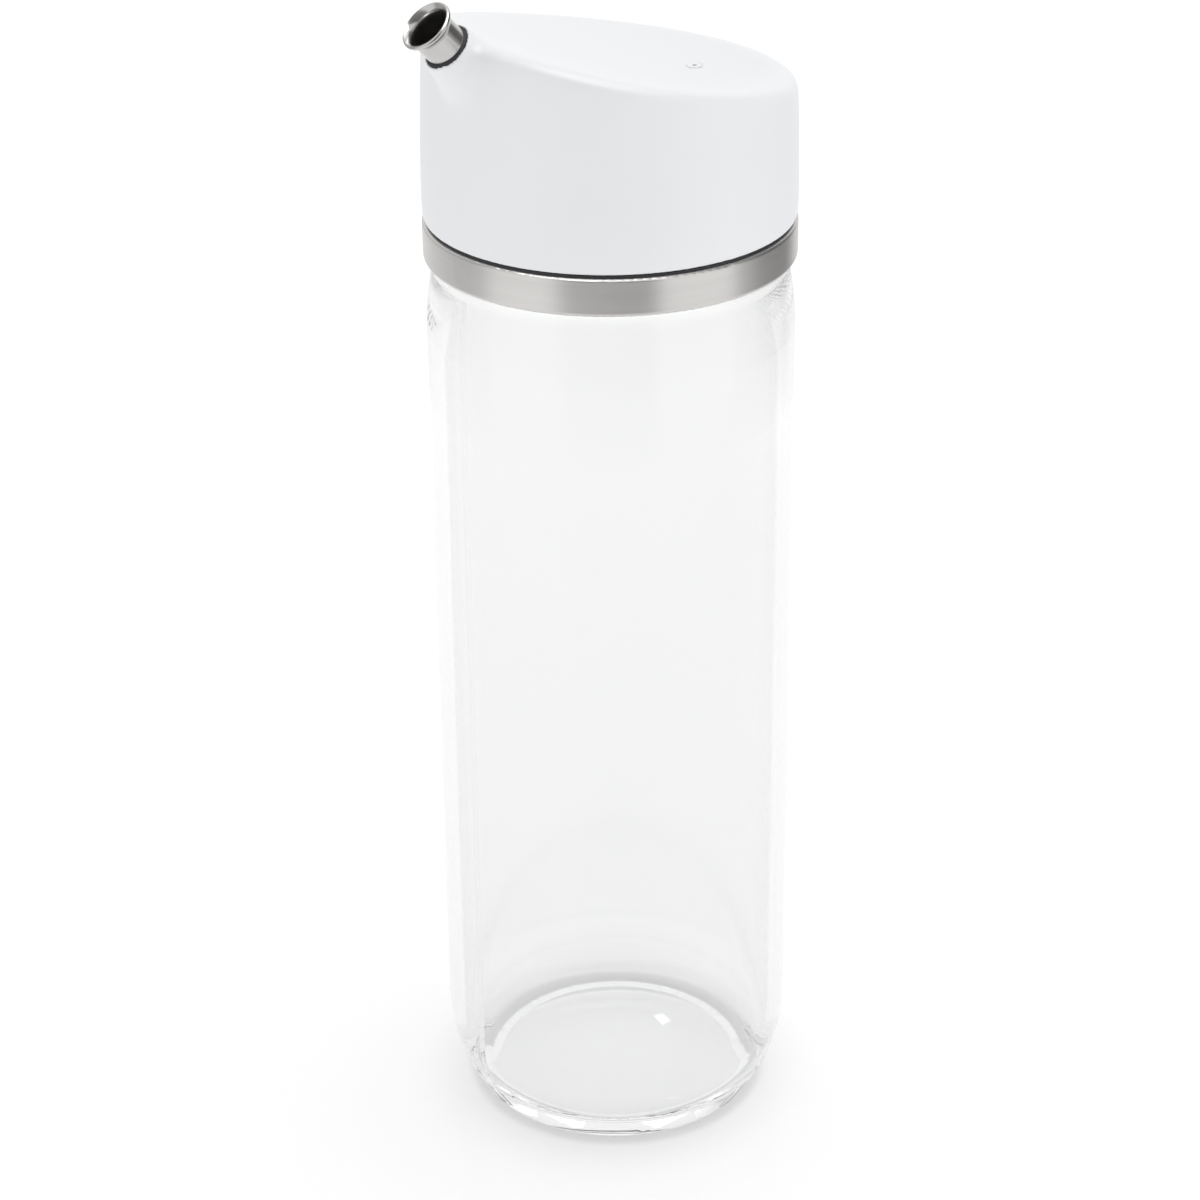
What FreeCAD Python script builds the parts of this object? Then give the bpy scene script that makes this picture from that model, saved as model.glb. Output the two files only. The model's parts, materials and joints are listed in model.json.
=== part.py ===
"""Glass oil bottle with a screw-on pouring cap, as a parametric FreeCAD document.

The frame: +Z up, origin on the table at the centre of the foot, spout towards +X. Millimetres.
"""

import os

import FreeCAD
import Part
import Sketcher
from FreeCAD import Vector

# Driving dimensions, in millimetres and degrees. Each one becomes a named cell of the sheet.
DIMENSIONS = {
    # glass body
    "body_radius": 32.0,
    "wall_thickness": 2.8,
    "floor_height": 4.8,
    "floor_rim_radius": 26.2,
    "floor_rim_round": 4.0,
    "foot_radius": 26.0,
    "foot_round": 3.0,
    "heel_height": 18.0,
    "heel_sweep": 30.0,
    "inner_heel_height": 13.0,
    "inner_heel_sweep": 12.7,
    "push_up_radius": 22.6,
    "push_up_depth": 1.0,
    "push_up_flat_radius": 3.0,
    "push_up_sweep": 256.0,
    "shoulder_start": 154.0,
    "shoulder_sweep": 52.0,
    "shoulder_edge_radius": 31.07,
    "shoulder_edge_height": 163.8,
    "shoulder_crown_radius": 30.2,
    "shoulder_top": 169.4,
    "shoulder_round": 2.0,
    "shoulder_inside": 167.1,
    "shoulder_inside_round": 2.8,
    "neck_radius": 24.6,
    "neck_bore_radius": 21.8,
    "neck_top": 185.0,
    "neck_root_round": 1.2,
    "lip_round": 1.0,
    # threaded neck sleeve and its steel collar
    "bond_gap": 0.1,
    "sleeve_bottom": 170.4,
    "sleeve_rim_radius": 31.3,
    "sleeve_rim_top": 173.0,
    "sleeve_neck_radius": 26.3,
    "sleeve_top": 184.6,
    "collar_radius": 32.22,
    "collar_sheet": 0.8,
    "collar_bottom": 167.2,
    "collar_opening": 27.2,
    "collar_foot_round": 0.75,
    "collar_edge_round": 0.5,
    "shoulder_gasket_inner": 26.0,
    "shoulder_gasket_outer": 28.1,
    "parting_seal_inner": 29.4,
    "parting_seal_outer": 31.5,
    "parting_seal_top": 174.25,
    # screw thread, two starts
    "thread_lead": 8.4,
    "thread_depth": 0.85,
    "thread_root_width": 1.5,
    "thread_crest_width": 0.7,
    "thread_sink": 0.3,
    "outer_thread_start": 176.2,
    "outer_thread_rise": 6.3,
    "inner_thread_start": 177.3,
    "inner_thread_rise": 6.3,
    # cap liner and the seal under it
    "liner_skirt_inner": 27.6,
    "liner_skirt_outer": 29.2,
    "liner_bottom": 174.9,
    "liner_radius": 29.9,
    "deck_bottom": 186.6,
    "deck_top": 188.4,
    "lip_gasket_inner": 21.9,
    "lip_gasket_outer": 26.2,
    # cap shell
    "shell_bottom": 174.4,
    "shell_foot_radius": 32.05,
    "shell_foot_round": 0.5,
    "shell_belly_radius": 32.22,
    "shell_belly_height": 177.5,
    "shell_top_radius": 30.6,
    "shell_top_height": 216.0,
    "shell_wall_sweep": 470.0,
    "shell_bore_radius": 29.9,
    "rim_back_height": 197.3,
    "rim_front_height": 211.2,
    "rim_sweep": 306.0,
    "rim_round": 2.2,
    "roof_drop": 6.6,
    "dish_sweep": 72.0,
    "dish_cross_sweep": 95.0,
    "dish_half_length": 45.0,
    "dish_bottom_x": -0.6,
    "dish_bottom_z": 198.15,
    "dish_tilt": 12.3,
    # pouring spout
    "spout_reach": 36.5,
    "spout_height": 213.6,
    "spout_elevation": 47.4,
    "spout_tube_radius": 3.68,
    "spout_bore_radius": 3.38,
    "spout_length": 28.6,
    "spout_lip_radius": 4.66,
    "spout_lip_round": 0.42,
    "spout_flare_length": 1.9,
    "spout_flare_sweep": 2.2,
    "spout_seal_radius": 4.05,
    "spout_seal_face": 5.8,
    "spout_seal_length": 6.0,
    "boss_face": 5.9,
    "boss_face_radius": 4.6,
    "boss_root_radius": 8.6,
    "boss_length": 19.0,
    # pouring duct under the spout
    "duct_x": 15.53,
    "duct_elbow_height": 190.8,
    "duct_radius": 5.2,
    "duct_bore_radius": 3.6,
    "duct_socket_radius": 3.72,
    "duct_socket_start": 25.4,
    "duct_bottom": 184.4,
    "duct_mitre": 0.8,
    "duct_overlap": 1.0,
    "duct_gasket_radius": 6.4,
    "o_ring_centre": 4.5,
    "o_ring_thickness": 0.8,
    # air vent
    "vent_x": -18.2,
    "vent_bush_top": 196.55,
    "vent_bush_radius": 1.3,
    "vent_bush_length": 4.6,
    "vent_hole_radius": 0.45,
    "vent_tube_radius": 1.9,
    "vent_tube_bore": 1.0,
    "vent_tube_top": 191.95,
    "vent_tube_bottom": 184.6,
    "vent_valve_radius": 2.9,
    "vent_valve_bore": 1.3,
    "vent_valve_top": 186.5,
    "vent_valve_shoulder": 182.6,
    "vent_valve_bottom": 179.6,
    "vent_valve_tip": 0.7,
}

doc = FreeCAD.newDocument("oil_bottle")
sheet = doc.addObject("Spreadsheet::Sheet", "dims")
for row, (alias, size) in enumerate(DIMENSIONS.items(), start=1):
    sheet.set(f"A{row}", alias.replace("_", " "))
    sheet.set(f"B{row}", str(size))
    sheet.setAlias(f"B{row}", alias)
doc.recompute()


def value(expression):
    """The number that an expression of sheet cells comes to."""
    return float(sheet.evalExpression(expression))


def new_body(name):
    """An empty body whose label is the sub-part's name."""
    body = doc.addObject("PartDesign::Body", name)
    body.Label = name
    return body


def origin_plane(body, role):
    """One of the body's own origin planes."""
    return [item for item in body.Origin.OriginFeatures if item.Role == role][0]


def new_sketch(body, name, role="XZ_Plane"):
    """An empty sketch lying on one of the body's origin planes."""
    sketch = body.newObject("Sketcher::SketchObject", name)
    sketch.AttachmentSupport = [(origin_plane(body, role), "")]
    sketch.MapMode = "FlatFace"
    return sketch


def bind(item, prop, expression):
    """Drive one property of an object by an expression of sheet cells."""
    item.setExpression(prop, expression)


def arc_between(start, end, radius, turns_left):
    """The shorter arc from start to end, bulging to the right of the path when turns_left is true."""
    middle = (start + end) * 0.5
    half = (end - start).Length / 2
    along = (end - start).normalize()
    left = Vector(-along.y, along.x, 0)
    height = (radius**2 - half**2) ** 0.5
    centre = middle + left * (height if turns_left else -height)
    first, last = (start, end) if turns_left else (end, start)
    angles = [
        Vector(1, 0, 0).getAngle(point - centre) * (1 if point.y >= centre.y else -1)
        for point in (first, last)
    ]
    return Part.ArcOfCircle(Part.Circle(centre, Vector(0, 0, 1), radius), *angles)


def draw_outline(sketch, corners):
    """Closed outline through the corners.

    A corner is (x, y) when a straight side leaves it, or (x, y, radius) when an arc does; a
    radius written with a leading "-" turns right along the path and one without turns left.
    """
    points = [Vector(value(corner[0]), value(corner[1]), 0) for corner in corners]
    ends = []
    for index, corner in enumerate(corners):
        start = points[index]
        end = points[(index + 1) % len(points)]
        if len(corner) == 2:
            sketch.addGeometry(Part.LineSegment(start, end), False)
            ends.append((1, 2))
            continue
        turns_left = not corner[2].startswith("-")
        radius = corner[2].lstrip("-")
        sketch.addGeometry(arc_between(start, end, value(radius), turns_left), False)
        ends.append((1, 2) if turns_left else (2, 1))
        at = sketch.addConstraint(Sketcher.Constraint("Radius", index, value(radius)))
        bind(sketch, f"Constraints[{at}]", radius)
    for index, corner in enumerate(corners):
        following = (index + 1) % len(corners)
        sketch.addConstraint(
            Sketcher.Constraint(
                "Coincident", index, ends[index][1], following, ends[following][0]
            )
        )
        for kind, position, expression in (
            ("DistanceX", points[index].x, corner[0]),
            ("DistanceY", points[index].y, corner[1]),
        ):
            if expression == "0":
                axis = -2 if kind == "DistanceX" else -1
                sketch.addConstraint(
                    Sketcher.Constraint("PointOnObject", index, ends[index][0], axis)
                )
                continue
            at = sketch.addConstraint(
                Sketcher.Constraint(kind, -1, 1, index, ends[index][0], position)
            )
            bind(sketch, f"Constraints[{at}]", expression)


def revolve(body, name, corners, feature="PartDesign::Revolution"):
    """Turn a closed outline of (radius, height) corners about the body's Z axis."""
    sketch = new_sketch(body, name + "_outline")
    draw_outline(sketch, corners)
    turned = body.newObject(feature, name)
    turned.Profile = sketch
    turned.ReferenceAxis = (sketch, ["V_Axis"])
    turned.Angle = 360
    doc.recompute()
    return turned


def circles_at(shape, radius, height, slack=0.02):
    """Names of the circular edges about Z with this radius and height."""
    names = []
    for number, edge in enumerate(shape.Edges, start=1):
        if edge.Degenerated or not isinstance(edge.Curve, Part.Circle):
            continue
        curve = edge.Curve
        if abs(curve.Radius - radius) < slack and abs(curve.Center.z - height) < slack:
            names.append(f"Edge{number}")
    return names


def round_edges(body, name, edges, radius):
    """Round named edges of the body's tip; the radius is an expression."""
    base = body.Tip
    rounding = body.newObject("PartDesign::Fillet", name)
    rounding.Base = (base, edges)
    rounding.Radius = value(radius)
    bind(rounding, "Radius", radius)
    doc.recompute()
    return rounding


def add_threads(body, name, root, depth_sign, start, rise):
    """Two equal thread ridges on a cylindrical wall, half a turn apart.

    The section stands on the wall of radius root, sunk into it a little, and points outwards
    when depth_sign is "+" and inwards when it is "-".
    """
    sunk = "-" if depth_sign == "+" else "+"
    for side, sign in (("a", ""), ("b", "-")):
        foot = f"{sign}(dims.{root} {sunk} dims.thread_sink)"
        crest = f"{sign}(dims.{root} {depth_sign} dims.thread_depth)"
        sketch = new_sketch(body, f"{name}_{side}_section")
        draw_outline(
            sketch,
            [
                (foot, f"dims.{start} - dims.thread_root_width / 2"),
                (crest, f"dims.{start} - dims.thread_crest_width / 2"),
                (crest, f"dims.{start} + dims.thread_crest_width / 2"),
                (foot, f"dims.{start} + dims.thread_root_width / 2"),
            ],
        )
        ridge = body.newObject("PartDesign::AdditiveHelix", f"{name}_{side}")
        ridge.Profile = sketch
        ridge.ReferenceAxis = (sketch, ["V_Axis"])
        ridge.Mode = "pitch-height-angle"
        bind(ridge, "Pitch", "dims.thread_lead")
        bind(ridge, "Height", f"dims.{rise}")
        doc.recompute()


def ring(name, inner, outer, bottom, top):
    """A plain ring of square section about the Z axis."""
    body = new_body(name)
    revolve(body, name + "_ring", [(inner, bottom), (outer, bottom), (outer, top), (inner, top)])
    return body


def glass_bottle():
    """Thick-walled jar: pushed-up foot, long heel curve, soft shoulder and a wide plain neck."""
    body = new_body("glass_bottle")
    inside = "dims.body_radius - dims.wall_thickness"
    revolve(
        body,
        "jar",
        [
            ("0", "dims.push_up_depth"),
            ("dims.push_up_flat_radius", "dims.push_up_depth", "-dims.push_up_sweep"),
            ("dims.push_up_radius", "0"),
            ("dims.foot_radius", "0", "dims.heel_sweep"),
            ("dims.body_radius", "dims.heel_height"),
            ("dims.body_radius", "dims.shoulder_start", "dims.shoulder_sweep"),
            ("dims.shoulder_edge_radius", "dims.shoulder_edge_height"),
            ("dims.shoulder_crown_radius", "dims.shoulder_top"),
            ("dims.neck_radius", "dims.shoulder_top"),
            ("dims.neck_radius", "dims.neck_top"),
            ("dims.neck_bore_radius", "dims.neck_top"),
            ("dims.neck_bore_radius", "dims.shoulder_inside"),
            (inside, "dims.shoulder_inside"),
            (inside, "dims.inner_heel_height", "-dims.inner_heel_sweep"),
            ("dims.floor_rim_radius", "dims.floor_height"),
            ("0", "dims.floor_height"),
        ],
    )
    roundings = (
        ("foot", "foot_radius", "0", "foot_round"),
        ("shoulder", "shoulder_crown_radius", "shoulder_top", "shoulder_round"),
        ("neck_root", "neck_radius", "shoulder_top", "neck_root_round"),
        ("floor_rim", "floor_rim_radius", "floor_height", "floor_rim_round"),
        ("lip_outside", "neck_radius", "neck_top", "lip_round"),
        ("lip_inside", "neck_bore_radius", "neck_top", "lip_round"),
    )
    for name, radius, height, size in roundings:
        height = 0.0 if height == "0" else value(f"dims.{height}")
        edges = circles_at(body.Tip.Shape, value(f"dims.{radius}"), height)
        round_edges(body, name + "_rounding", edges, f"dims.{size}")
    edges = circles_at(body.Tip.Shape, value(inside), value("dims.shoulder_inside"))
    round_edges(body, "shoulder_inside_rounding", edges, "dims.shoulder_inside_round")
    return body


def neck_sleeve():
    """Moulded sleeve bonded round the plain glass neck; it carries the collar and the thread."""
    body = new_body("neck_sleeve")
    bore = "dims.neck_radius + dims.bond_gap"
    revolve(
        body,
        "sleeve",
        [
            (bore, "dims.sleeve_bottom"),
            ("dims.sleeve_rim_radius", "dims.sleeve_bottom"),
            ("dims.sleeve_rim_radius", "dims.sleeve_rim_top"),
            ("dims.sleeve_neck_radius", "dims.sleeve_rim_top"),
            ("dims.sleeve_neck_radius", "dims.sleeve_top"),
            (bore, "dims.sleeve_top"),
        ],
    )
    add_threads(
        body, "neck_thread", "sleeve_neck_radius", "+", "outer_thread_start", "outer_thread_rise"
    )
    return body


def steel_collar():
    """Pressed steel band with a turned-in top, seated over the sleeve's rim."""
    body = new_body("steel_collar")
    inside = "dims.collar_radius - dims.collar_sheet"
    top = "dims.sleeve_rim_top + dims.collar_sheet"
    revolve(
        body,
        "collar",
        [
            (inside, "dims.collar_bottom"),
            ("dims.collar_radius", "dims.collar_bottom"),
            ("dims.collar_radius", top),
            ("dims.collar_opening", top),
            ("dims.collar_opening", "dims.sleeve_rim_top"),
            (inside, "dims.sleeve_rim_top"),
        ],
    )
    radius = value("dims.collar_radius")
    edges = circles_at(body.Tip.Shape, radius, value("dims.collar_bottom"))
    round_edges(body, "collar_foot_rounding", edges, "dims.collar_foot_round")
    edges = circles_at(body.Tip.Shape, radius, value(top))
    round_edges(body, "collar_edge_rounding", edges, "dims.collar_edge_round")
    return body


def cap_liner():
    """Inner cap: threaded skirt under a deck with holes for the pouring duct and the vent."""
    body = new_body("cap_liner")
    revolve(
        body,
        "liner",
        [
            ("dims.liner_skirt_inner", "dims.liner_bottom"),
            ("dims.liner_skirt_outer", "dims.liner_bottom"),
            ("dims.liner_skirt_outer", "dims.deck_bottom"),
            ("dims.liner_radius", "dims.deck_bottom"),
            ("dims.liner_radius", "dims.deck_top"),
            ("0", "dims.deck_top"),
            ("0", "dims.deck_bottom"),
            ("dims.liner_skirt_inner", "dims.deck_bottom"),
        ],
    )
    add_threads(
        body, "cap_thread", "liner_skirt_inner", "-", "inner_thread_start", "inner_thread_rise"
    )
    for name, x, radius in (
        ("duct_hole", "dims.duct_x", "dims.duct_gasket_radius"),
        ("vent_hole", "dims.vent_x", "dims.vent_tube_radius"),
    ):
        before = body.Tip.Shape.Volume
        sketch = new_sketch(body, name + "_outline", "XY_Plane")
        draw_circle(sketch, x, radius)
        hole = body.newObject("PartDesign::Pocket", name)
        hole.Profile = sketch
        hole.Type = "ThroughAll"
        hole.SideType = "Symmetric"
        doc.recompute()
        if body.Tip.Shape.Volume >= before:
            raise RuntimeError(f"{name} removed nothing")
    return body


def draw_circle(sketch, x, radius):
    """A circle centred on the sketch's horizontal axis."""
    sketch.addGeometry(
        Part.Circle(Vector(value(x), 0, 0), Vector(0, 0, 1), value(radius)), False
    )
    at = sketch.addConstraint(Sketcher.Constraint("Radius", 0, value(radius)))
    bind(sketch, f"Constraints[{at}]", radius)
    at = sketch.addConstraint(Sketcher.Constraint("DistanceX", -1, 1, 0, 3, value(x)))
    bind(sketch, f"Constraints[{at}]", x)
    sketch.addConstraint(Sketcher.Constraint("PointOnObject", 0, 3, -1))


def rim_pocket(body, name, drop):
    """Cut away all that stands above the rim curve, lowered by drop, across the whole body.

    Seen from the side the rim is a shallow hollow arc that climbs from the back to the spout.
    """
    before = body.Tip.Shape.Volume
    reach = "dims.body_radius"
    over = "dims.shell_top_height + 10"
    sketch = new_sketch(body, name + "_outline")
    draw_outline(
        sketch,
        [
            (f"-{reach}", f"dims.rim_back_height - {drop}", "dims.rim_sweep"),
            (reach, f"dims.rim_front_height - {drop}"),
            (f"{reach} + 8", f"dims.rim_front_height + 2.2 - {drop}"),
            (f"{reach} + 8", over),
            (f"-{reach} - 8", over),
            (f"-{reach} - 8", f"dims.rim_back_height - 1 - {drop}"),
        ],
    )
    cut = body.newObject("PartDesign::Pocket", name)
    cut.Profile = sketch
    cut.Type = "ThroughAll"
    cut.SideType = "Symmetric"
    doc.recompute()
    if body.Tip.Shape.Volume >= before:
        raise RuntimeError(f"{name} removed nothing")


def turn_about_y(item, angle):
    """Turn an object about the Y axis; the angle is an expression in degrees."""
    bind(item, "Placement.Rotation.Axis.x", "0")
    bind(item, "Placement.Rotation.Axis.y", "1")
    bind(item, "Placement.Rotation.Axis.z", "0")
    bind(item, "Placement.Rotation.Angle", angle)


def spout_frame(item, distance):
    """Put an object on the spout axis, its Z along the spout and its origin below the lip."""
    turn_about_y(item, "90 - dims.spout_elevation")
    bind(
        item,
        "Placement.Base.x",
        f"dims.spout_reach - ({distance}) * cos(dims.spout_elevation * 1 deg)",
    )
    bind(
        item,
        "Placement.Base.z",
        f"dims.spout_height - ({distance}) * sin(dims.spout_elevation * 1 deg)",
    )


def cylinder(name, radius, height, bottom="0", x="0"):
    """A cylinder standing on bottom at x."""
    item = doc.addObject("Part::Cylinder", name)
    bind(item, "Radius", radius)
    bind(item, "Height", height)
    bind(item, "Placement.Base.x", x)
    bind(item, "Placement.Base.z", bottom)
    return item


def spout_cylinder(name, radius, start, length):
    """A cylinder on the spout axis, from start to start + length below the lip."""
    item = doc.addObject("Part::Cylinder", name)
    bind(item, "Radius", radius)
    bind(item, "Height", length)
    spout_frame(item, f"{start} + {length}")
    return item


def fuse(name, items):
    """Join solids into one."""
    joined = doc.addObject("Part::MultiFuse", name)
    joined.Shapes = items
    joined.Refine = True
    doc.recompute()
    return joined


def cut(name, base, tool):
    """Take the tool away from the base, and check that something went."""
    result = doc.addObject("Part::Cut", name)
    result.Base = base
    result.Tool = tool
    doc.recompute()
    if result.Shape.Volume >= base.Shape.Volume:
        raise RuntimeError(f"{name} removed nothing")
    return result


def shell_outside():
    """The cap's solid outer form: gently tapering wall under the climbing rim."""
    body = new_body("shell_outside")
    revolve(
        body,
        "shell_turning",
        [
            ("0", "dims.shell_bottom"),
            ("dims.shell_foot_radius", "dims.shell_bottom"),
            ("dims.shell_belly_radius", "dims.shell_belly_height", "dims.shell_wall_sweep"),
            ("dims.shell_top_radius", "dims.shell_top_height"),
            ("0", "dims.shell_top_height"),
        ],
    )
    rim_pocket(body, "rim_curve", "0")
    foot = circles_at(
        body.Tip.Shape, value("dims.shell_foot_radius"), value("dims.shell_bottom")
    )
    round_edges(body, "shell_foot_rounding", foot, "dims.shell_foot_round")
    return body


def shell_cavity():
    """The hollow inside the cap: a round bore under a roof that follows the rim."""
    body = new_body("shell_cavity")
    revolve(
        body,
        "cavity_turning",
        [
            ("0", "dims.shell_bottom - 1"),
            ("dims.shell_bore_radius", "dims.shell_bottom - 1"),
            ("dims.shell_bore_radius", "dims.shell_top_height"),
            ("0", "dims.shell_top_height"),
        ],
    )
    rim_pocket(body, "roof_curve", "dims.roof_drop")
    return body


def rounded(name, base, pick, radius):
    """Round the edges whose middle point pick accepts; the radius is an expression."""
    item = doc.addObject("Part::Fillet", name)
    item.Base = base
    size = value(radius)
    chosen = []
    for number, edge in enumerate(base.Shape.Edges, start=1):
        if edge.Degenerated:
            continue
        middle = edge.valueAt((edge.FirstParameter + edge.LastParameter) / 2)
        if pick(middle):
            chosen.append((number, size, size))
    item.Edges = chosen
    doc.recompute()
    return item


def shell_dish():
    """The shallow bowl scooped out of the cap's top, leaning with the climbing rim.

    It is a fat barrel lying fore and aft, and its lowest flank is the bowl.
    """
    dish = new_body("shell_dish")
    end_radius = (
        "dims.dish_cross_sweep - dims.dish_sweep"
        " + sqrt(dims.dish_sweep^2 - dims.dish_half_length^2)"
    )
    revolve(
        dish,
        "barrel",
        [
            ("0", "-dims.dish_half_length"),
            (end_radius, "-dims.dish_half_length", "dims.dish_sweep"),
            (end_radius, "dims.dish_half_length"),
            ("0", "dims.dish_half_length"),
        ],
    )
    turn_about_y(dish, "-90 - dims.dish_tilt")
    bind(
        dish,
        "Placement.Base.x",
        "dims.dish_bottom_x - dims.dish_cross_sweep * sin(dims.dish_tilt * 1 deg)",
    )
    bind(
        dish,
        "Placement.Base.z",
        "dims.dish_bottom_z + dims.dish_cross_sweep * cos(dims.dish_tilt * 1 deg)",
    )
    return dish


def cap_shell():
    """White outer cap: dished top inside a soft rim, spout boss at the high end, vent hole."""
    dished = cut("dished_cap", shell_outside(), shell_dish())
    wall = value("dims.shell_top_radius") - 0.4
    low = value("dims.rim_back_height") - 1.5
    soft = rounded(
        "rim_rounding",
        dished,
        lambda middle: middle.z > low and (middle.x**2 + middle.y**2) ** 0.5 > wall,
        "dims.rim_round",
    )
    boss = doc.addObject("Part::Cone", "spout_boss")
    bind(boss, "Radius1", "dims.boss_root_radius")
    bind(boss, "Radius2", "dims.boss_face_radius")
    bind(boss, "Height", "dims.boss_length")
    spout_frame(boss, "dims.boss_face + dims.boss_length")
    solid = fuse("cap_with_boss", [soft, boss])

    hollow = cut("hollow_cap", solid, shell_cavity())
    spout_hole = spout_cylinder(
        "spout_hole", "dims.spout_seal_radius", "dims.boss_face - 1", "dims.boss_length + 1"
    )
    drilled = cut("drilled_cap", hollow, spout_hole)
    vent_hole = cylinder(
        "shell_vent_hole",
        "dims.vent_bush_radius",
        "dims.vent_bush_length + 4",
        "dims.vent_bush_top - dims.vent_bush_length - 2",
        "dims.vent_x",
    )
    shell = cut("cap_shell", drilled, vent_hole)
    shell.Label = "cap_shell"
    return shell


def spout_tube():
    """Steel pouring tube with a trumpet lip rolled back on itself."""
    body = new_body("spout_tube")
    roll = "dims.spout_lip_radius - dims.spout_lip_round"
    revolve(
        body,
        "tube",
        [
            ("dims.spout_bore_radius", "-dims.spout_length"),
            ("dims.spout_tube_radius", "-dims.spout_length"),
            (
                "dims.spout_tube_radius",
                "-dims.spout_flare_length",
                "-dims.spout_flare_sweep",
            ),
            (roll, "-2 * dims.spout_lip_round", "dims.spout_lip_round * 1.001"),
            (roll, "0", "dims.spout_flare_sweep + 0.5"),
            ("dims.spout_bore_radius", "-dims.spout_flare_length"),
        ],
    )
    spout_frame(body, "0")
    return body


def spout_seal():
    """Dark sleeve of rubber between the steel tube and the cap's boss."""
    outer = spout_cylinder(
        "seal_outside", "dims.spout_seal_radius", "dims.spout_seal_face", "dims.spout_seal_length"
    )
    inner = spout_cylinder(
        "seal_inside",
        "dims.spout_tube_radius",
        "dims.spout_seal_face - 1",
        "dims.spout_seal_length + 2",
    )
    seal = cut("spout_seal", outer, inner)
    seal.Label = "spout_seal"
    return seal


def pour_duct():
    """Moulded elbow that carries the oil from the deck up to the steel tube."""
    height = "dims.duct_elbow_height"
    reach = f"(dims.spout_height - {height}) / sin(dims.spout_elevation * 1 deg)"
    stub = cylinder(
        "duct_stub",
        "dims.duct_radius",
        f"{height} - dims.duct_bottom + dims.duct_overlap",
        "dims.duct_bottom",
        "dims.duct_x",
    )
    socket = spout_cylinder(
        "duct_socket",
        "dims.duct_radius",
        "dims.duct_socket_start",
        f"{reach} - dims.duct_socket_start + dims.duct_overlap",
    )
    outside = fuse("duct_outside", [stub, socket])
    bore_stub = cylinder(
        "duct_bore_stub",
        "dims.duct_bore_radius",
        f"{height} - dims.duct_bottom + 1 + dims.duct_mitre",
        "dims.duct_bottom - 1",
        "dims.duct_x",
    )
    bore_slope = spout_cylinder(
        "duct_bore_slope",
        "dims.duct_bore_radius",
        "dims.spout_length - 1",
        f"{reach} - dims.spout_length + 1 + dims.duct_mitre",
    )
    bore_socket = spout_cylinder(
        "duct_bore_socket",
        "dims.duct_socket_radius",
        "dims.duct_socket_start - 1",
        "dims.spout_length - dims.duct_socket_start + 1",
    )
    drilled_up = cut("duct_drilled_up", outside, bore_stub)
    drilled_through = cut("duct_drilled_through", drilled_up, bore_slope)
    duct = cut("pour_duct", drilled_through, bore_socket)
    duct.Label = "pour_duct"
    return duct


def duct_o_ring():
    """Round-section ring that seals the steel tube where it enters the duct's socket."""
    body = doc.addObject("Part::Torus", "duct_o_ring")
    body.Label = "duct_o_ring"
    bind(body, "Radius1", "dims.o_ring_centre")
    bind(body, "Radius2", "dims.o_ring_thickness")
    spout_frame(body, "dims.duct_socket_start - dims.o_ring_thickness")
    return body


def duct_gasket():
    """Flat rubber ring round the duct where it passes through the deck."""
    outer = cylinder(
        "duct_gasket_outside",
        "dims.duct_gasket_radius",
        "dims.deck_top - dims.deck_bottom",
        "dims.deck_bottom",
        "dims.duct_x",
    )
    inner = cylinder(
        "duct_gasket_inside",
        "dims.duct_radius",
        "dims.deck_top - dims.deck_bottom + 2",
        "dims.deck_bottom - 1",
        "dims.duct_x",
    )
    gasket = cut("duct_gasket", outer, inner)
    gasket.Label = "duct_gasket"
    return gasket


def vent_bush():
    """Small insert in the floor of the dish with the pin-hole that lets air in."""
    bottom = "dims.vent_bush_top - dims.vent_bush_length"
    outer = cylinder(
        "vent_bush_outside", "dims.vent_bush_radius", "dims.vent_bush_length", bottom, "dims.vent_x"
    )
    inner = cylinder(
        "vent_bush_inside",
        "dims.vent_hole_radius",
        "dims.vent_bush_length + 2",
        bottom + " - 1",
        "dims.vent_x",
    )
    bush = cut("vent_bush", outer, inner)
    bush.Label = "vent_bush"
    return bush


def vent_tube():
    """Short air tube from below the bush down through the deck."""
    body = new_body("vent_tube")
    revolve(
        body,
        "vent_tube_turning",
        [
            ("dims.vent_tube_bore", "dims.vent_tube_bottom"),
            ("dims.vent_tube_radius", "dims.vent_tube_bottom"),
            ("dims.vent_tube_radius", "dims.vent_tube_top"),
            ("dims.vent_tube_bore", "dims.vent_tube_top"),
        ],
    )
    bind(body, "Placement.Base.x", "dims.vent_x")
    return body


def vent_valve():
    """Soft one-way nozzle that keeps oil out of the air tube."""
    body = new_body("vent_valve")
    revolve(
        body,
        "vent_valve_turning",
        [
            ("dims.vent_valve_bore", "dims.vent_valve_shoulder"),
            ("dims.vent_valve_tip - 0.3", "dims.vent_valve_bottom"),
            ("dims.vent_valve_tip", "dims.vent_valve_bottom"),
            ("dims.vent_valve_radius", "dims.vent_valve_shoulder"),
            ("dims.vent_valve_radius", "dims.vent_valve_top"),
            ("dims.vent_tube_radius", "dims.vent_valve_top"),
            ("dims.vent_tube_radius", "dims.vent_tube_bottom"),
            ("dims.vent_valve_bore", "dims.vent_tube_bottom"),
        ],
    )
    bind(body, "Placement.Base.x", "dims.vent_x")
    return body


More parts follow.
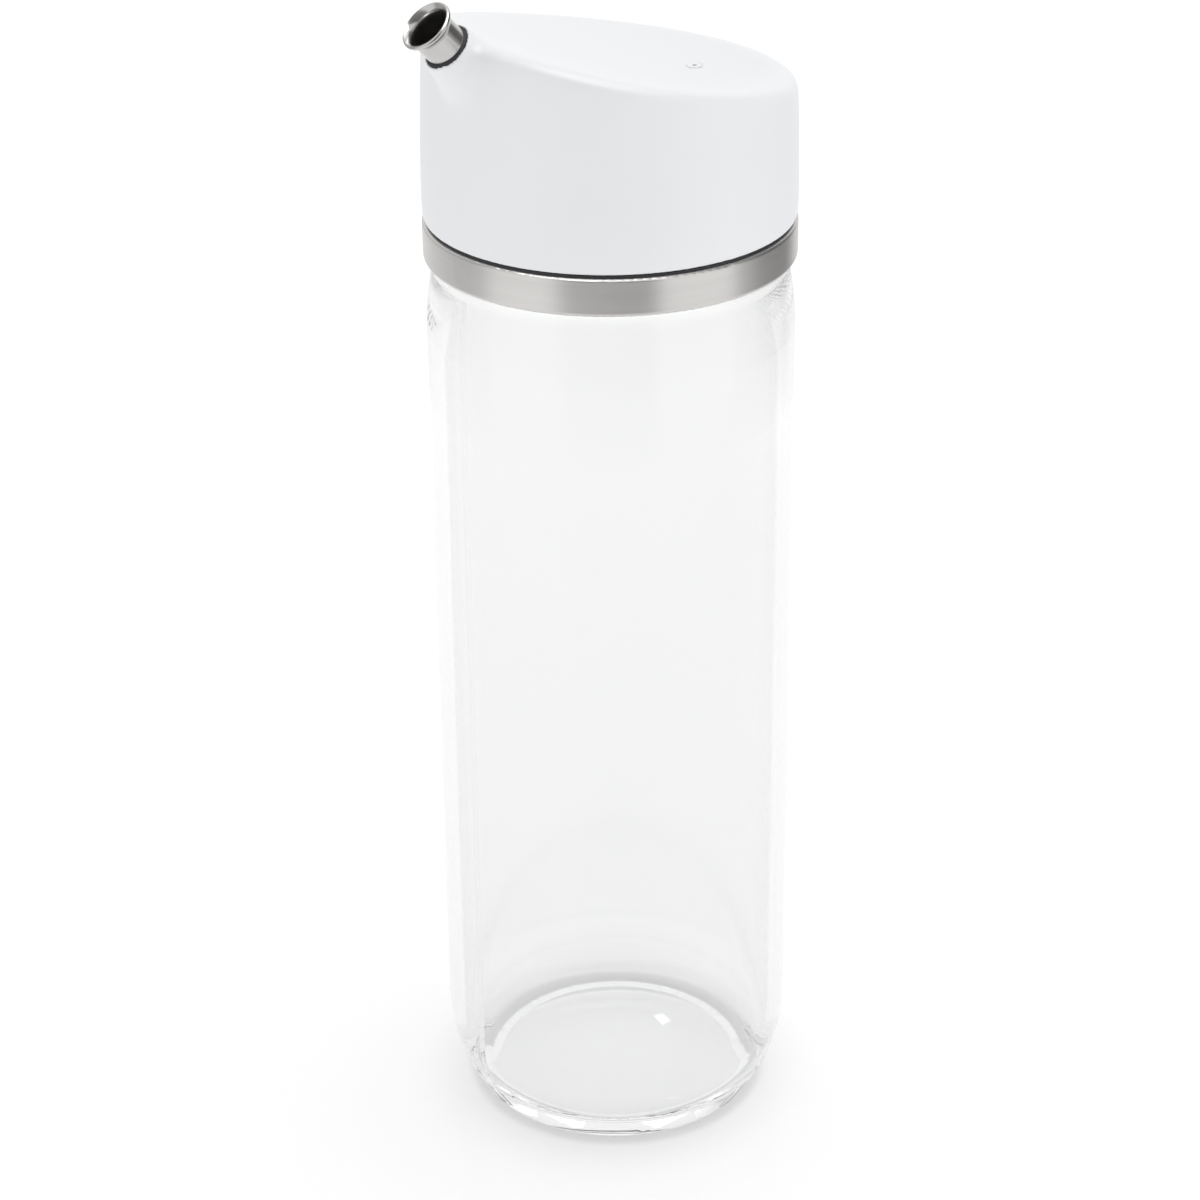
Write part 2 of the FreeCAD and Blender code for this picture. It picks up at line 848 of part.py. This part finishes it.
def build():
    """All sub-parts of the bottle, from the table up."""
    return [
        glass_bottle(),
        ring(
            "shoulder_gasket",
            "dims.shoulder_gasket_inner",
            "dims.shoulder_gasket_outer",
            "dims.shoulder_top",
            "dims.sleeve_bottom",
        ),
        neck_sleeve(),
        steel_collar(),
        ring(
            "parting_seal",
            "dims.parting_seal_inner",
            "dims.parting_seal_outer",
            "dims.sleeve_rim_top + dims.collar_sheet",
            "dims.parting_seal_top",
        ),
        ring(
            "lip_gasket",
            "dims.lip_gasket_inner",
            "dims.lip_gasket_outer",
            "dims.neck_top",
            "dims.deck_bottom",
        ),
        cap_liner(),
        cap_shell(),
        spout_tube(),
        spout_seal(),
        pour_duct(),
        duct_o_ring(),
        duct_gasket(),
        vent_bush(),
        vent_tube(),
        vent_valve(),
    ]


def check(sub_parts):
    """Stop unless every object was computed and every sub-part is one sound solid."""
    for item in doc.Objects:
        if "Invalid" in item.State or "Error" in item.State:
            raise RuntimeError(f"{item.Name} failed: {item.State}")
    for item in sub_parts:
        if item.Shape.isNull() or not item.Shape.isValid() or len(item.Shape.Solids) != 1:
            raise RuntimeError(f"{item.Label} is not one sound solid")


def export(sub_parts):
    """One STEP file for each sub-part, named by its label."""
    os.makedirs("parts", exist_ok=True)
    for item in sub_parts:
        item.Shape.exportStep(os.path.join("parts", item.Label + ".step"))
        box = item.Shape.BoundBox
        print(f"{item.Label:18s} {item.Shape.Volume:11.1f} mm3  z {box.ZMin:.2f} to {box.ZMax:.2f}")


sub_parts = build()
doc.recompute()
check(sub_parts)
export(sub_parts)
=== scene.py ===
"""Studio picture of the glass oil bottle: materials, light and camera over the CAD frame."""

import json
import math

import bpy
from mathutils import Matrix, Vector


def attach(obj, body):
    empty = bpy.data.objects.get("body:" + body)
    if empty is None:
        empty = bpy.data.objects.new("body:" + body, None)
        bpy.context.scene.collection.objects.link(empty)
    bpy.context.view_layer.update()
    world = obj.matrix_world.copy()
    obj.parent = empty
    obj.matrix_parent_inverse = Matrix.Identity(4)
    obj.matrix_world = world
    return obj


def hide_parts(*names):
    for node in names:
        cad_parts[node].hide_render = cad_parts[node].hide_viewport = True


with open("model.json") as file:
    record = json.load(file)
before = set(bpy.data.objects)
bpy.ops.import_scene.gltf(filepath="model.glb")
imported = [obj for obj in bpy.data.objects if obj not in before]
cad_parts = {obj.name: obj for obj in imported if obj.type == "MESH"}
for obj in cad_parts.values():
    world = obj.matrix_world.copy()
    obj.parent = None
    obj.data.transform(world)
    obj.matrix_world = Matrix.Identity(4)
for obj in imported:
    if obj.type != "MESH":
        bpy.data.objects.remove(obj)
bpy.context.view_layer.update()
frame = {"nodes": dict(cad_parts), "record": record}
nodes = frame["nodes"]
scene = bpy.context.scene

# Where the camera stands: its bearing round the bottle, its distances from the bottle's axis and
# above the table in metres, how it tips and rolls, and its lens.
CAMERA_BEARING = math.radians(143.8)
CAMERA_STANDOFF = 0.5283
CAMERA_HEIGHT = 0.3626
CAMERA_SIDESTEP = -0.0024
CAMERA_PITCH = math.radians(26.44)
CAMERA_ROLL = math.radians(-0.58)
LENS_MM = 97.63
SENSOR_MM = 36
CLIP_START = 0.01
CLIP_END = 50

# The reflector wall, in metres: its size, its gap over the floor, and how far up from its foot it
# fades from white into its bands.
REFLECTOR_RADIUS = 0.34
REFLECTOR_HEIGHT = 0.7
REFLECTOR_LIFT = 0.001
REFLECTOR_FADE = 0.03
REFLECTOR_SIDES = 128
# Its brightness by bearing in degrees from the camera's side, negative to the camera's left.
REFLECTOR_BANDS = [
    (-180, 1.0),
    (-150, 0.9),
    (-122, 0.7),
    (-98, 0.5),
    (-82, 0.5),
    (-70, 0.95),
    (-38, 1.0),
    (-22, 0.3),
    (22, 0.18),
    (32, 0.95),
    (70, 1.0),
    (84, 0.38),
    (100, 0.12),
    (126, 0.16),
    (150, 0.9),
    (180, 1.0),
]

# The studio's brightness by share of a turn, starting and ending behind the bottle and passing
# the camera's left, the camera and its right: round the walls, and higher up.
WORLD_BANDS = [(0.0, 1.0), (0.3, 1.0), (0.42, 0.8), (0.58, 0.8), (0.7, 1.0), (1.0, 1.0)]
WORLD_HIGH_BANDS = [
    (0.0, 1.35),
    (0.15, 1.0),
    (0.33, 0.6),
    (0.5, 0.75),
    (0.68, 1.1),
    (0.85, 1.5),
    (1.0, 1.35),
]
# How far the higher bands take over, by the sine of the angle above the horizon.
WORLD_CLIMB = [(0.0, 0.0), (0.35, 0.1), (0.6, 1.0)]

# Two lamps: size in metres, brightness, and place in metres from the bottle's foot, counted along
# the line of sight, to its right and up. The top box hangs over the bottle, a little towards the
# camera, and only glossy surfaces catch it.
TOP_BOX_SIZE = 0.42
TOP_BOX_PLACE = (-0.1, 0, 0.72)
TOP_BOX_GLOW = 4.5
# The small sparkle lamp is behind the bottle and also shows through the glass, in its base.
LAMP_SIZE = 0.012
LAMP_PLACE = (0.9, 0.05, 0.6)
LAMP_GLOW = 6.0

# The floor's width in metres, and its glow by share of the ring's outer radius in metres: the glow
# is a painted pool of light under the glass and a painted contact shadow in a ring at its heel.
FLOOR_SIZE = 8
PAINTED_RING_OUTER = 0.04
FLOOR_GLOW_PAINTED_LIGHT_AND_SHADOW = [(0.0, 0.78), (0.59, 0.74), (0.635, 0.46), (0.67, 0.46), (0.73, 0.6), (1.0, 0.635)]

# Enough bounces for light that runs a long way inside the thick glass wall.
GLASS_BOUNCES = 200
TRANSPARENT_BOUNCES = 16

# The spout's lip, in metres from the bottle's axis and above the table, and its slope.
SPOUT_REACH = 0.0365
SPOUT_HEIGHT = 0.2136
SPOUT_ELEVATION = math.radians(47.4)
# How the cap is remeshed and relaxed, in metres. Round the spout's axis the blend comes in over the
# inner radii and fades over the outer ones, from the lip down to a depth below it. The ridge of
# the dish is relaxed more lightly, outside its own radii and above a height.
CAP_VOXEL = 0.00042
BLEND_INNER = (0.0042, 0.0056)
BLEND_OUTER = (0.011, 0.018)
BLEND_DEPTH = 0.03
BLEND_FACTOR = 0.5
BLEND_STEPS = 120
RIDGE_RADIUS = (0.024, 0.027)
RIDGE_HEIGHT = 0.19
RIDGE_WEIGHT = 0.35

# The line of sight and the camera's right, both level.
LOOK = Vector((-math.sin(CAMERA_BEARING), math.cos(CAMERA_BEARING), 0))
RIGHT = Vector((math.cos(CAMERA_BEARING), math.sin(CAMERA_BEARING), 0))

# The places of the Mix node's colour sockets, because several of its sockets share one name.
MIX_FIRST = 6
MIX_SECOND = 7
MIX_RESULT = 2


class Graph:
    """A small helper that adds and links the nodes of one material or world."""

    def __init__(self, owner):
        owner.use_nodes = True
        self.tree = owner.node_tree
        self.tree.nodes.clear()

    def add(self, kind, inputs=None, **settings):
        node = self.tree.nodes.new(kind)
        for name, setting in settings.items():
            setattr(node, name, setting)
        for name, given in (inputs or {}).items():
            socket = node.inputs[name]
            if isinstance(given, bpy.types.NodeSocket):
                self.tree.links.new(given, socket)
            else:
                socket.default_value = given
        return node

    def link(self, output, target):
        self.tree.links.new(output, target)

    def math(self, operation, first, second):
        return self.add("ShaderNodeMath", {0: first, 1: second}, operation=operation).outputs[0]

    def mapped(self, scale):
        """The object's own coordinates, stretched by a scale for each axis."""
        place = self.add("ShaderNodeTexCoord").outputs["Object"]
        return self.add("ShaderNodeMapping", {"Vector": place, "Scale": scale}).outputs[0]

    def noise(self, where, scale, detail, roughness=0.5):
        return self.add(
            "ShaderNodeTexNoise",
            {"Vector": where, "Scale": scale, "Detail": detail, "Roughness": roughness},
        ).outputs["Fac"]

    def span(self, source, low, high, from_low=0.0, from_high=1.0):
        return self.add(
            "ShaderNodeMapRange",
            {
                "Value": source,
                "From Min": from_low,
                "From Max": from_high,
                "To Min": low,
                "To Max": high,
            },
        ).outputs["Result"]

    def ramp(self, source, stops):
        """A grey ramp that eases through (position, level) stops."""
        node = self.add("ShaderNodeValToRGB", {"Fac": source})
        node.color_ramp.interpolation = "EASE"
        elements = node.color_ramp.elements
        while len(elements) > 1:
            elements.remove(elements[-1])
        elements[0].position = stops[0][0]
        elements[0].color = (stops[0][1],) * 3 + (1,)
        for position, level in stops[1:]:
            elements.new(position).color = (level,) * 3 + (1,)
        return node.outputs["Color"]

    def mix(self, factor, first, second):
        node = self.add("ShaderNodeMix", {"Factor": factor}, data_type="RGBA")
        for socket, given in ((node.inputs[MIX_FIRST], first), (node.inputs[MIX_SECOND], second)):
            if isinstance(given, bpy.types.NodeSocket):
                self.link(given, socket)
            else:
                socket.default_value = given
        return node.outputs[MIX_RESULT]

    def turn_from_camera(self, place):
        """The bearing of a place as a share of a turn: 0.5 is on the camera's side."""
        toward = self.add("ShaderNodeVectorMath", {0: place, 1: -LOOK}, operation="DOT_PRODUCT")
        across = self.add("ShaderNodeVectorMath", {0: place, 1: RIGHT}, operation="DOT_PRODUCT")
        bearing = self.math("ARCTAN2", across.outputs["Value"], toward.outputs["Value"])
        return self.span(bearing, 0.0, 1.0, -math.pi, math.pi)

    def bump(self, height, strength, distance):
        return self.add(
            "ShaderNodeBump", {"Height": height, "Strength": strength, "Distance": distance}
        ).outputs["Normal"]


def new_material(name):
    material = bpy.data.materials.new(name)
    return material, Graph(material)


def finish_material(graph, shader):
    output = graph.add("ShaderNodeOutputMaterial")
    graph.link(shader.outputs[0], output.inputs["Surface"])


def clear_glass():
    """Thick soda glass: clear, with the faint drawn-out waviness of a pressed jar.

    It is a little darker at grazing angles, where light runs a longer way through the wall.
    """
    material, graph = new_material("clear_glass")
    waves = graph.noise(graph.mapped((22, 22, 5)), 1.0, 2.0)
    specks = graph.noise(graph.mapped((1, 1, 1)), 900.0, 1.0)
    smears = graph.noise(graph.mapped((30, 30, 12)), 1.0, 4.0, 0.6)
    facing = graph.add("ShaderNodeLayerWeight", {"Blend": 0.5}).outputs["Facing"]
    grazing = graph.span(facing, 0.0, 1.0, 0.6, 0.95)
    clean = (0.93, 0.934, 0.93, 1)
    smeared = (0.915, 0.921, 0.916, 1)
    edge = (0.74, 0.755, 0.745, 1)
    shader = graph.add(
        "ShaderNodeBsdfPrincipled",
        {
            "Base Color": graph.mix(grazing, graph.mix(smears, clean, smeared), edge),
            "Transmission Weight": 1.0,
            "IOR": 1.5,
            "Roughness": graph.span(specks, 0.0, 0.02, 0.6, 0.8),
            "Normal": graph.bump(waves, 0.12, 0.002),
        },
    )
    finish_material(graph, shader)
    return material


def brushed_steel():
    """Stainless band with fine brushing that runs round it."""
    material, graph = new_material("brushed_steel")
    lines = graph.noise(graph.mapped((14, 14, 9000)), 1.0, 2.0, 0.6)
    broad = graph.noise(graph.mapped((30, 30, 900)), 1.0, 3.0)
    tangent = graph.add("ShaderNodeTangent", direction_type="RADIAL", axis="Z").outputs[0]
    shader = graph.add(
        "ShaderNodeBsdfPrincipled",
        {
            "Base Color": graph.mix(broad, (0.62, 0.605, 0.59, 1), (0.7, 0.69, 0.675, 1)),
            "Metallic": 1.0,
            "Roughness": graph.span(lines, 0.26, 0.4),
            "Anisotropic": 0.8,
            "Anisotropic Rotation": 0.25,
            "Tangent": tangent,
            "Normal": graph.bump(lines, 0.12, 0.0001),
        },
    )
    finish_material(graph, shader)
    return material


def polished_steel():
    """Drawn stainless tube with a satin polish and faint drawing lines."""
    material, graph = new_material("polished_steel")
    grain = graph.noise(graph.mapped((2600, 2600, 2600)), 1.0, 2.0)
    patches = graph.noise(graph.mapped((260, 260, 260)), 1.0, 3.0)
    shader = graph.add(
        "ShaderNodeBsdfPrincipled",
        {
            "Base Color": graph.mix(patches, (0.52, 0.51, 0.5, 1), (0.6, 0.59, 0.58, 1)),
            "Metallic": 1.0,
            "Roughness": graph.span(patches, 0.14, 0.26),
            "Normal": graph.bump(grain, 0.1, 0.0001),
        },
    )
    finish_material(graph, shader)
    return material


def moulded_plastic(name, low, high, roughness, grain_scale, grain_strength):
    """Satin moulded plastic with a fine spark-eroded grain."""
    material, graph = new_material(name)
    grain = graph.noise(graph.mapped((1, 1, 1)), grain_scale, 2.0, 0.6)
    cloud = graph.noise(graph.mapped((1, 1, 1)), 45.0, 3.0)
    shader = graph.add(
        "ShaderNodeBsdfPrincipled",
        {
            "Base Color": graph.mix(cloud, low, high),
            "Roughness": graph.span(grain, roughness - 0.05, roughness + 0.05),
            "Specular IOR Level": 0.4,
            "Normal": graph.bump(grain, grain_strength, 0.00006),
        },
    )
    finish_material(graph, shader)
    return material


def rubber(name, low, high, transmission):
    """Matte rubber with a dusty surface."""
    material, graph = new_material(name)
    dust = graph.noise(graph.mapped((1, 1, 1)), 1500.0, 2.0, 0.6)
    shader = graph.add(
        "ShaderNodeBsdfPrincipled",
        {
            "Base Color": graph.mix(dust, low, high),
            "Roughness": graph.span(dust, 0.5, 0.7),
            "Transmission Weight": transmission,
            "Normal": graph.bump(dust, 0.1, 0.00005),
        },
    )
    finish_material(graph, shader)
    return material


def dress():
    """Give every CAD node its finish."""
    shell = moulded_plastic(
        "white_shell_plastic",
        low=(0.835, 0.845, 0.86, 1),
        high=(0.87, 0.88, 0.89, 1),
        roughness=0.42,
        grain_scale=2200.0,
        grain_strength=0.12,
    )
    liner = moulded_plastic(
        "white_liner_plastic",
        low=(0.76, 0.77, 0.77, 1),
        high=(0.81, 0.82, 0.82, 1),
        roughness=0.5,
        grain_scale=1500.0,
        grain_strength=0.1,
    )
    dark = rubber(
        "dark_silicone",
        low=(0.02, 0.02, 0.022, 1),
        high=(0.045, 0.045, 0.05, 1),
        transmission=0.0,
    )
    clear = rubber(
        "clear_silicone",
        low=(0.82, 0.84, 0.84, 1),
        high=(0.88, 0.89, 0.89, 1),
        transmission=0.4,
    )
    finishes = {
        "clear_glass": clear_glass(),
        "brushed_steel": brushed_steel(),
        "polished_steel": polished_steel(),
        "white_shell_plastic": shell,
        "white_liner_plastic": liner,
        "dark_silicone": dark,
        "clear_silicone": clear,
    }
    for entry in frame["record"]["subparts"]:
        piece = nodes[entry["node"]]
        piece.data.materials.clear()
        piece.data.materials.append(finishes[entry["material_slot"]])


def evaluated_copy(piece, name):
    """A new object with the piece's modifiers applied."""
    graph = bpy.context.evaluated_depsgraph_get()
    mesh = bpy.data.meshes.new_from_object(piece.evaluated_get(graph))
    mesh.name = name
    copy = bpy.data.objects.new(name, mesh)
    scene.collection.objects.link(copy)
    return copy


def smoothstep(value, low, high):
    """0 below low, 1 above high and a soft climb between them."""
    share = min(max((value - low) / (high - low), 0.0), 1.0)
    return share * share * (3 - 2 * share)


def soften_cap():
    """The moulded cap with its spout boss flowing into the wall and the rim.

    The CAD shell is remeshed finely and relaxed in a collar round the spout's axis, and more
    lightly along the ridge where the dished top meets the wall.
    """
    raw = evaluated_copy(nodes["cap_shell"], "cap_shell_raw")
    remesh = raw.modifiers.new("remesh", "REMESH")
    remesh.mode = "VOXEL"
    remesh.voxel_size = CAP_VOXEL
    remesh.use_smooth_shade = True
    cap = evaluated_copy(raw, "cap_shell_soft")
    bpy.data.objects.remove(raw)

    lip = Vector((SPOUT_REACH, 0, SPOUT_HEIGHT))
    along = Vector((math.cos(SPOUT_ELEVATION), 0, math.sin(SPOUT_ELEVATION)))
    collar = cap.vertex_groups.new(name="boss_blend")
    for vertex in cap.data.vertices:
        offset = vertex.co - lip
        depth = -offset.dot(along)
        radius = (offset + along * depth).length
        clear_of_tube = smoothstep(radius, *BLEND_INNER)
        weight = clear_of_tube * (1 - smoothstep(radius, *BLEND_OUTER))
        if depth <= 0 or depth >= BLEND_DEPTH:
            weight = 0.0
        if vertex.co.z > RIDGE_HEIGHT:
            ridge = smoothstep(vertex.co.xy.length, *RIDGE_RADIUS)
            weight = max(weight, RIDGE_WEIGHT * ridge * clear_of_tube)
        if weight > 0:
            collar.add([vertex.index], weight, "REPLACE")
    relax = cap.modifiers.new("relax", "SMOOTH")
    relax.vertex_group = collar.name
    relax.factor = BLEND_FACTOR
    relax.iterations = BLEND_STEPS
    soft = evaluated_copy(cap, "soft_cap")
    bpy.data.objects.remove(cap)
    soft.vertex_groups.clear()
    soft.data.materials.clear()
    soft.data.materials.append(nodes["cap_shell"].data.materials[0])
    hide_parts("cap_shell")
    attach(soft, "cap")


def lay_floor():
    """White sweep under the bottle, lit from within and a little glossy.

    Its glow is raised under the glass as a painted pool of light, and it dips in a narrow ring
    where the glass heel overhangs it as a painted contact shadow.
    """
    bpy.ops.mesh.primitive_plane_add(size=FLOOR_SIZE, location=(0, 0, 0))
    floor = bpy.context.object
    floor.name = "studio_floor"
    material, graph = new_material("studio_floor")
    grain = graph.noise(graph.mapped((1, 1, 1)), 60.0, 2.0)
    place = graph.add("ShaderNodeTexCoord").outputs["Object"]
    radius = graph.add("ShaderNodeVectorMath", {0: place}, operation="LENGTH").outputs["Value"]
    share = graph.span(radius, 0.0, 1.0, 0.0, PAINTED_RING_OUTER)
    shader = graph.add(
        "ShaderNodeBsdfPrincipled",
        {
            "Base Color": (0.4, 0.4, 0.4, 1),
            "Roughness": graph.span(grain, 0.08, 0.1),
            "Specular IOR Level": 0.08,
            # The emission holds a painted pool of light under the glass and a painted contact
            # shadow at the heel.
            "Emission Color": graph.ramp(share, FLOOR_GLOW_PAINTED_LIGHT_AND_SHADOW),
            "Emission Strength": 1.0,
        },
    )
    finish_material(graph, shader)
    floor.data.materials.append(material)


def light_world():
    """White studio all round, dimmer behind the camera, with soft bright and dark bands.

    The bands are laid out by bearing, measured from the camera's side of the bottle.
    """
    world = bpy.data.worlds.new("studio")
    scene.world = world
    graph = Graph(world)
    direction = graph.add("ShaderNodeTexCoord").outputs["Generated"]
    turn = graph.turn_from_camera(direction)
    bands = graph.ramp(turn, WORLD_BANDS)
    height = graph.add("ShaderNodeSeparateXYZ", {0: direction}).outputs["Z"]
    high_bands = graph.ramp(turn, WORLD_HIGH_BANDS)
    top = graph.ramp(height, WORLD_CLIMB)
    glow = graph.mix(top, bands, high_bands)
    background = graph.add("ShaderNodeBackground", {"Color": glow, "Strength": 1.0})
    output = graph.add("ShaderNodeOutputWorld")
    graph.link(background.outputs[0], output.inputs["Surface"])


def keep_to_reflections(piece, through_glass=False):
    """The piece shows in glossy surfaces only, and through glass too where that is asked for.

    The camera doesn't see it, and it neither lights matte surfaces nor casts a shadow.
    """
    piece.visible_camera = False
    piece.visible_diffuse = False
    piece.visible_transmission = through_glass
    piece.visible_shadow = False


def hang_lamp(name, size, ahead, aside, height, strength, through_glass):
    """A square lamp facing down, placed along the line of sight, to its right and up."""
    bpy.ops.mesh.primitive_plane_add(size=size)
    lamp = bpy.context.object
    lamp.name = name
    lamp.location = LOOK * ahead + RIGHT * aside + Vector((0, 0, height))
    material, graph = new_material(name)
    glow = graph.add("ShaderNodeEmission", {"Color": (1, 1, 1, 1), "Strength": strength})
    finish_material(graph, glow)
    lamp.data.materials.append(material)
    keep_to_reflections(lamp, through_glass)


def raise_reflector():
    """Curved wall of soft boxes and black flags that only glossy surfaces catch.

    Its brightness changes with the bearing round the bottle: dark towards the camera, a bright
    box on either side of it, grey beyond the left one and black beyond the right one.
    """
    bpy.ops.mesh.primitive_cylinder_add(
        vertices=REFLECTOR_SIDES,
        radius=REFLECTOR_RADIUS,
        depth=REFLECTOR_HEIGHT,
        end_fill_type="NOTHING",
    )
    wall = bpy.context.object
    wall.name = "reflector_wall"
    wall.location.z = REFLECTOR_HEIGHT / 2 + REFLECTOR_LIFT
    material, graph = new_material("reflector_wall")
    place = graph.add("ShaderNodeTexCoord").outputs["Object"]
    turn = graph.turn_from_camera(place)
    stops = [(0.5 + degrees / 360, level) for degrees, level in REFLECTOR_BANDS]
    bands = graph.ramp(turn, stops)
    height = graph.add("ShaderNodeSeparateXYZ", {0: place}).outputs["Z"]
    foot = -REFLECTOR_HEIGHT / 2
    climb = graph.span(height, 0.0, 1.0, foot, foot + REFLECTOR_FADE)
    color = graph.mix(climb, (1, 1, 1, 1), bands)
    glow = graph.add("ShaderNodeEmission", {"Color": color, "Strength": 1.0})
    finish_material(graph, glow)
    wall.data.materials.append(material)
    keep_to_reflections(wall)


def place_camera():
    """Long lens, a little above the cap, looking down on the bottle."""
    camera = bpy.data.objects.new("camera", bpy.data.cameras.new("camera"))
    scene.collection.objects.link(camera)
    camera.data.lens = LENS_MM
    camera.data.sensor_width = SENSOR_MM
    camera.data.clip_start = CLIP_START
    camera.data.clip_end = CLIP_END
    place = LOOK * -CAMERA_STANDOFF + RIGHT * CAMERA_SIDESTEP + Vector((0, 0, CAMERA_HEIGHT))
    turn = Matrix.Rotation(CAMERA_BEARING, 4, "Z")
    tilt = Matrix.Rotation(math.pi / 2 - CAMERA_PITCH, 4, "X")
    roll = Matrix.Rotation(CAMERA_ROLL, 4, "Z")
    camera.matrix_world = Matrix.Translation(place) @ turn @ tilt @ roll
    scene.camera = camera


dress()
soften_cap()
lay_floor()
light_world()
raise_reflector()
hang_lamp("top_box", TOP_BOX_SIZE, *TOP_BOX_PLACE, TOP_BOX_GLOW, through_glass=False)
hang_lamp("sparkle_lamp", LAMP_SIZE, *LAMP_PLACE, LAMP_GLOW, through_glass=True)
place_camera()
scene.view_settings.view_transform = "Standard"
scene.cycles.max_bounces = GLASS_BOUNCES
scene.cycles.transmission_bounces = GLASS_BOUNCES
scene.cycles.glossy_bounces = GLASS_BOUNCES
scene.cycles.transparent_max_bounces = TRANSPARENT_BOUNCES
